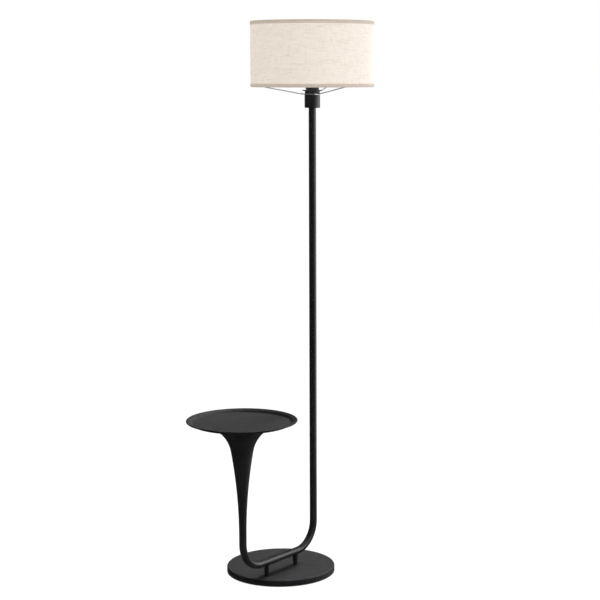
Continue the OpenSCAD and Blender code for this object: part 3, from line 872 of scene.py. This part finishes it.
@dataclass
class Stem(Assembly):
    """The bent tube, its posts and the pole above it."""

    kept: dict[str, Finish] = keeping({
        "post_tray_side": POWDER_DARK, "post_pole_side": POWDER_DARK, "tube_inserts": ZINC,
        "frame_tube": POWDER_DARK, "cord_grommet": RUBBER, "inner_lead": LEAD,
        "pole_middle": POWDER_DARK, "pole_upper": POWDER_DARK, "coupler_lower": ZINC,
        "coupler_upper": ZINC, "pole_bush": ZINC,
    })


@dataclass
class TrayTable(Assembly):
    """The spun tray on its trumpet."""

    axis: Pair = (-207 * MM, -34 * MM)
    radius: float = 153.5 * MM
    rim_z: float = 488.0 * MM
    depth: float = 9.3 * MM
    sheet: float = 1.2 * MM
    lip: float = 8.0 * MM
    lip_rise: float = 1.0 * MM
    bead_r: float = 1.9 * MM
    cove_r: float = 8.0 * MM
    shoulder_r: float = 5.0 * MM
    slope: float = 45.0
    kept: dict[str, Finish] = keeping({
        "trumpet": POWDER_DARK, "trumpet_plug": ZINC, "tie_rod": ZINC, "tray_boss": ZINC,
    })

    def outline(self) -> Outline:
        """Returns the tray's section, from its floor's middle over the rim and back below."""
        floor_z = self.rim_z - self.depth
        lip_z = self.rim_z - self.bead_r - self.lip_rise
        lip_r = self.radius - self.lip
        tilt = self.slope
        slope = math.radians(tilt)
        both = self.cove_r + self.shoulder_r
        rise = lip_z - floor_z - both * (1 - math.cos(slope))
        run = rise / math.tan(slope) + both * math.sin(slope)
        shoulder = (lip_r, lip_z - self.shoulder_r)
        cove = (lip_r - run, floor_z + self.cove_r)
        bead = (self.radius - self.bead_r, self.rim_z - self.bead_r)
        turn = 180 - math.degrees(math.asin(self.sheet / 2 / self.bead_r))
        middle = [(cove[0] * share, floor_z) for share in (0.0, 0.35, 0.7)]
        under = [(r, floor_z - self.sheet) for r, _ in reversed(middle)]
        return [
            *middle,
            *arc(cove, self.cove_r, -90, tilt - 90, 8),
            *arc(shoulder, self.shoulder_r, 90 + tilt, 90, 8),
            *arc(bead, self.bead_r, turn, -turn, 16),
            *arc(shoulder, self.shoulder_r - self.sheet, 90, 90 + tilt, 8),
            *arc(cove, self.cove_r + self.sheet, tilt - 90, -90, 8),
            *under,
        ]

    def build(self) -> None:
        """Spins the tray dish."""
        dish = BENCH.turned("tray_dish", self.outline(), self.axis, 240, closed=False, smooth=50)
        hand_in(dish, Body.ROOT, POWDER, "powder_black", "tray")


@dataclass
class Holder(Assembly):
    """The lampholder: cup, barrel, insert and contacts."""

    kept: dict[str, Finish] = keeping({
        "holder_cup": POWDER_DARK, "holder_nipple": ZINC, "nipple_nut": ZINC,
        "holder_insert": CERAMIC, "terminal_screws": ZINC, "centre_contact": BRASS,
        "screw_shell": BRASS, "holder_barrel": HOLDER, "lock_ring": HOLDER,
    })


@dataclass
class Shade(Assembly):
    """The drum shade: linen on its liner, taped edges, rings and spider.

    lap_off is how far a layer's lap stands off it, bite how far it sinks in and tuck how far it
    goes under the tapes. hem_, crown and fold_ shape a tape's section, its own lap starts
    lap_step degrees after the linen's, and nick_ is its mouth at each arm.
    """

    axis: Pair = (110 * MM, -34 * MM)
    low: float = 1393.5 * MM
    high: float = 1577.0 * MM
    radius: float = 175.0 * MM
    cloth: float = 0.5 * MM
    tape_out: float = 10.0 * MM
    tape_in: float = 4.5 * MM
    lap_turn: float = 37.0
    lap_width: float = 11.0 * MM
    lap_off: float = 0.35 * MM
    tuck: float = 1.0 * MM
    bite: float = 0.1 * MM
    hem_edge: float = 0.05 * MM
    hem_soft: float = 0.12 * MM
    crown: float = 0.10 * MM
    fold_start: float = 1.6 * MM
    fold_rise: float = 1.1 * MM
    lap_step: float = 6.0
    tape_lap: float = 12.0 * MM
    tape_off: float = 0.45 * MM
    nick_deep: float = 3.0 * MM
    nick_half: float = 1.8 * MM
    nick_high: float = 1.4 * MM
    nick_lift: float = 2.6 * MM
    arm_turns: tuple[float, ...] = (19.0, 139.0, 259.0)
    ring_r: float = 171.9 * MM
    wire_r: float = 1.5 * MM
    ring_z: float = 1400.0 * MM
    bead_r: float = 2.1 * MM
    bead_sink: float = 0.4 * MM
    bead_shape: Point = (0.85, 1.1, 0.8)
    bead_rough: float = 0.18 * MM
    steps: int = 360
    rows: int = 6
    lap_steps: int = 8
    bends: int = 8
    kept: dict[str, Finish] = keeping({
        "shade_spider": WIRE, "shade_low_ring": WIRE, "shade_top_ring": WIRE,
    })

    @property
    def round_length(self) -> float:
        """The cloth's length round the shade, with its lap."""
        return math.tau * (self.radius - self.cloth) + self.lap_width

    def wall(self, name: str, outer: float, lap_out: float) -> bpy.types.Object:
        """Models one wrapped layer of the wall with its lap.

        Args:
            name: The piece's name.
            outer: The layer's outer radius.
            lap_out: How far the lap stands off the layer, negative inside it.

        Returns:
            The piece.
        """
        low, high = self.low + self.cloth, self.high - self.cloth
        inner = outer - self.cloth
        heights = [low + (high - low) * i / self.rows for i in range(self.rows + 1)]
        section = [(outer, z) for z in heights] + [(inner, z) for z in reversed(heights)]
        skin = BENCH.turned(name, section, self.axis, self.steps)
        sweep = math.degrees(self.lap_width / outer)
        edge = abs(lap_out)
        if lap_out > 0:
            root, top = outer - self.bite, outer + lap_out
            lap_low, lap_high = self.low + self.tape_out - self.tuck, self.high - self.tape_out + self.tuck
        else:
            root, top = inner + self.bite, inner + lap_out
            lap_low, lap_high = self.low + self.tape_in, self.high - self.tape_in
        ends = [(root, lap_low), (top, lap_low + edge), (top, lap_high - edge), (root, lap_high)]
        lap = BENCH.turned(name + "_lap", ends, self.axis, self.lap_steps, self.lap_turn, sweep)
        return BENCH.join(skin, lap)

    def tape(self, name: str, top: bool) -> bpy.types.Object:
        """Models the tape folded over one edge.

        Args:
            name: The piece's name.
            top: Whether it is the upper edge.

        Returns:
            The piece.
        """
        t, hem, soft = self.cloth, self.hem_edge, self.hem_soft
        out, inn = self.radius, self.radius - 4 * t
        sign, edge = (-1, self.high) if top else (1, self.low)

        def at(r: float, depth: float) -> Pair:
            """Returns a point of the section, depth metres in from the edge."""
            return r, edge + sign * depth

        middle = (out + inn) / 2
        half = out - middle
        # from the hem on the linen over crown and fold to the inner hem, and back
        outer = [at(out - t + 0.02 * MM, self.tape_out), at(out - soft, self.tape_out + hem)]
        outer += [at(out - 0.02 * MM, self.tape_out - 0.35 * MM), at(out, self.tape_out * 0.72)]
        outer += [at(out + self.crown, self.tape_out * 0.40), at(out, self.fold_start)]
        turns = [math.radians(180 * i / self.bends) for i in range(self.bends + 1)]
        over = [at(middle + half * math.cos(a), self.fold_rise * (1 - math.sin(a))) for a in turns]
        inside = [at(inn, self.tape_in - 0.3 * MM), at(inn + soft, self.tape_in)]
        inside += [at(inn + t, self.tape_in - hem), at(inn + t, 2 * t)]
        back = [at(middle, t), at(out - t, 2 * t)]
        section = outer + over + inside + back
        return BENCH.turned(name, section, self.axis, self.steps, smooth=60)

    def lap_tape(self, piece: bpy.types.Object) -> None:
        """Lifts the tape where its ends lap, a little way round from the linen's lap."""
        start = self.lap_turn + self.lap_step
        end = start + math.degrees(self.tape_lap / self.radius)
        middle_r = self.radius - 2 * self.cloth

        def lapped(place: Vector) -> bool:
            """Says whether a place is on the outside of the lap."""
            x, y = place.x - self.axis[0], place.y - self.axis[1]
            return start <= math.degrees(math.atan2(y, x)) <= end and math.hypot(x, y) > middle_r

        BENCH.pick(piece, lapped)
        wider = 1 + self.tape_off / self.radius
        bpy.ops.transform.resize(value=(wider, wider, 1.0), center_override=(*self.axis, 0.0))
        BENCH.clear()

    def notch(self, piece: bpy.types.Object) -> None:
        """Nicks the lower tape where the three arms reach the ring."""
        for turn in self.arm_turns:

            def nicked(point: Vector, arm: Pair = polar(ORIGIN, 1.0, turn)) -> bool:
                """Says whether a place is in the nick's mouth."""
                flat = Vector((point.x - self.axis[0], point.y - self.axis[1]))
                return (
                    flat.dot(arm) > self.radius - self.nick_deep
                    and abs(flat.cross(arm)) < self.nick_half
                    and point.z < self.low + self.nick_high
                )

            BENCH.pick(piece, nicked)
            bpy.ops.transform.translate(value=(0.0, 0.0, self.nick_lift))
            BENCH.clear()

    def beads(self) -> bpy.types.Object:
        """Models the weld beads where the arms meet the lower ring."""
        first, *others = self.arm_turns
        r = self.ring_r - self.wire_r - self.bead_sink
        centre = (*polar(self.axis, r, first), self.ring_z)
        BENCH.clear()
        bpy.ops.mesh.primitive_uv_sphere_add(segments=20, ring_count=12, radius=self.bead_r, location=centre)
        bead = BENCH.named("arm_weld_beads")
        BENCH.edit_all()
        bpy.ops.transform.resize(value=self.bead_shape, center_override=centre)
        bpy.ops.transform.vertex_random(offset=self.bead_rough, uniform=0.4, seed=4)
        BENCH.close()
        BENCH.hold(bead)
        bpy.ops.object.shade_smooth()
        return BENCH.copied(bead, self.axis, [other - first for other in others])

    def build(self) -> None:
        """Wraps the liner and the linen, folds the tapes over and welds the arms."""
        t = self.cloth
        liner = self.wall("liner_wrap", self.radius - 2 * t, -self.lap_off)
        BENCH.lay_weave(liner, self.axis, self.radius)
        hand_in(liner, Body.SHADE, LINER, "liner", "shade_liner")
        linen = self.wall("linen_skin", self.radius - t, self.lap_off)
        BENCH.lay_weave(linen, self.axis, self.radius)
        hand_in(linen, Body.SHADE, LINEN, "linen", "shade_fabric")
        for name, node, top in (
            ("trim_top_tape", "trim_top", True),
            ("trim_bottom_tape", "trim_bottom", False),
        ):
            tape = self.tape(name, top)
            self.lap_tape(tape)
            if not top:
                self.notch(tape)
            BENCH.lay_weave(tape, self.axis, self.radius)
            hand_in(tape, Body.SHADE, TAPE, "trim_cloth", node)
        hand_in(self.beads(), Body.SHADE, WIRE, "spider_wire")


@dataclass
class Bulb(Assembly):
    """The screw-in globe bulb."""

    kept: dict[str, Finish] = keeping({
        "bulb_contact": BRASS, "bulb_insulator": INSULATOR, "bulb_cap": CAP,
        "bulb_housing": HOUSING, "led_board": BOARD, "bulb_globe": OPAL,
    })


# -------- studio


@dataclass(frozen=True)
class SoftBox:
    """A rectangular soft light: where it stands, what it points at, its size and power.

    A grid on its front keeps its light within spread degrees.
    """

    name: str
    at: Point
    aim: Point
    size: Pair
    watts: float
    tone: Colour
    spread: float = 180.0


@dataclass(frozen=True)
class Drape:
    """A cloth laid from the lamp outwards and hung up round it; only gloss shows it.

    Its turns are in degrees from +X, to the left seen from above.
    """

    name: str
    start: float
    sweep: float
    low_grey: float
    high_grey: float
    outline: Outline = field(default_factory=lambda: [(0.16, 0.0003), (3.0, 0.0003), (3.0, 3.6)])


@dataclass
class Studio:
    """Pale floor, soft lights, drapes for the gloss and the camera of the photograph.

    floor_white is how much of the floor's look is a plain glow of floor_glow; a drape has its
    upper grey from drape_top metres on.
    """

    ambient: float = 0.92
    floor_r: float = 30.0
    floor_colour: Colour = (0.82, 0.82, 0.82)
    floor_glow: float = 1.06
    floor_white: float = 0.86
    drape_top: float = 2.4
    eye: Point = (-3.4201, -2.8162, 1.4307)
    heading: Pair = (0.7961, 0.6052)
    pitch: float = 8.18
    lens: float = 94.45
    sensor: float = 36.0
    shift_x: float = -0.0667
    clip_end: float = 100.0
    soft_boxes: tuple[SoftBox, ...] = (
        SoftBox("key_right", (0.98, -2.69, 1.45), (0.0, 0.0, 0.9), (1.2, 1.6), 3.6, (0.60, 0.68, 1.0)),
        SoftBox("fill_front", (0.44, -2.60, 1.75), (0.0, 0.0, 1.1), (1.4, 2.0), 11.0, (0.88, 0.93, 1.0)),
        SoftBox("rim_high", (4.20, 0.20, 3.75), (0.0, 0.0, 0.1), (2.6, 1.8), 23.0, (0.98, 0.98, 1.0), 24.0),
        SoftBox("top", (0.3, 0.0, 3.4), (0.0, 0.0, 0.0), (1.6, 1.6), 24.0, (1.0, 0.99, 0.97)),
    )
    drapes: tuple[Drape, ...] = (
        Drape("drape_behind", 0.0, 75.0, 0.05, 0.12),
        Drape("drape_dark", 75.0, 180.0, 0.03, 0.10),
        Drape("drape_right", 255.0, 105.0, 0.14, 0.70),
        Drape("card_right", 306.0, 40.0, 2.6, 5.0, [(1.2, 0.001), (2.9, 0.001), (2.9, 2.3)]),
        Drape("drape_ceiling", 0.0, 360.0, 0.0, 0.05, [(0.0, 3.5), (3.0, 3.5)]),
    )

    def seen(self, graph: Graph) -> Value:
        """Returns 1 for rays that show the background: camera, mirror and glass rays."""
        rays = ("Is Camera Ray", "Is Glossy Ray", "Is Transmission Ray")
        found = [graph.node("ShaderNodeLightPath", out=name) for name in rays]
        return found[0].larger(found[1]).larger(found[2])

    def world(self) -> None:
        """Makes the world white to look at and plain soft light otherwise."""
        world = bpy.data.worlds.new("studio_world")
        world.use_nodes = True
        bpy.context.scene.world = world
        graph = Graph(world.node_tree)
        strength = self.seen(graph).blend(self.ambient, 1.0)
        light = graph.node("ShaderNodeBackground", sockets={"Color": WHITE, "Strength": strength})
        graph.node("ShaderNodeOutputWorld", sockets={"Surface": light})

    def floor(self) -> None:
        """Makes the pale floor, white to look at but still with the lamp's shadow."""
        BENCH.clear()
        bpy.ops.mesh.primitive_circle_add(vertices=64, radius=self.floor_r, fill_type="NGON")
        floor = BENCH.named("studio_floor")
        material, graph = new_material("studio_floor")
        matt = graph.node("ShaderNodeBsdfDiffuse", sockets={"Color": self.floor_colour})
        glow = {"Color": WHITE, "Strength": self.floor_glow}
        white = graph.node("ShaderNodeEmission", sockets=glow)
        share = self.seen(graph) * self.floor_white
        both = graph.node("ShaderNodeMixShader", sockets={0: share, 1: matt, 2: white})
        graph.node("ShaderNodeOutputMaterial", sockets={"Surface": both})
        floor.data.materials.append(material)

    def light(self, box: SoftBox) -> None:
        """Adds one rectangular soft light."""
        light = bpy.data.lights.new(box.name, "AREA")
        light.shape = "RECTANGLE"
        light.size, light.size_y = box.size
        light.energy = box.watts
        light.color = box.tone
        light.spread = math.radians(box.spread)
        lamp = bpy.data.objects.new(box.name, light)
        bpy.context.scene.collection.objects.link(lamp)
        lamp.location = box.at
        aim = Vector(box.aim) - Vector(box.at)
        lamp.rotation_euler = aim.to_track_quat("-Z", "Y").to_euler()

    def hang(self, drape: Drape) -> None:
        """Hangs one drape, which only gloss and mirrors show."""
        cloth = BENCH.turned(drape.name, drape.outline, ORIGIN, 24, drape.start, drape.sweep, closed=False)
        material, graph = new_material(drape.name)
        height = graph.parts(graph.place())[2].over(0.0, self.drape_top)
        grey = height.blend(drape.low_grey, drape.high_grey)
        tone = graph.node("ShaderNodeEmission", sockets={"Color": WHITE, "Strength": grey})
        graph.node("ShaderNodeOutputMaterial", sockets={"Surface": tone})
        cloth.data.materials.append(material)
        for ray in ("camera", "diffuse", "transmission", "shadow"):
            setattr(cloth, f"visible_{ray}", False)

    def camera(self) -> None:
        """Places the camera where the photograph was taken from."""
        data = bpy.data.cameras.new("camera")
        data.lens = self.lens
        data.sensor_width = self.sensor
        data.shift_x = self.shift_x
        data.clip_end = self.clip_end
        camera = bpy.data.objects.new("camera", data)
        bpy.context.scene.collection.objects.link(camera)
        pitch = math.radians(self.pitch)
        ahead = Vector((*(c * math.cos(pitch) for c in self.heading), -math.sin(pitch)))
        camera.location = self.eye
        camera.rotation_euler = ahead.to_track_quat("-Z", "Y").to_euler()
        bpy.context.scene.camera = camera

    def build(self) -> None:
        """Sets up the studio."""
        bpy.context.scene.view_settings.view_transform = "Standard"
        self.world()
        self.floor()
        for box in self.soft_boxes:
            self.light(box)
        for drape in self.drapes:
            self.hang(drape)
        self.camera()


def main() -> None:
    """Builds the sub-assemblies in order and reports each."""
    logging.basicConfig(level=logging.INFO, format="%(name)s: %(message)s")
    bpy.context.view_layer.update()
    Studio().build()
    for assembly in (Base(), Stem(), TrayTable(), Holder(), Shade(), Bulb()):
        assembly.build()
        assembly.dress_kept()
        LOG.info("built %s", type(assembly).__name__)
    BENCH.clear()


if __name__ == "__main__":
    main()
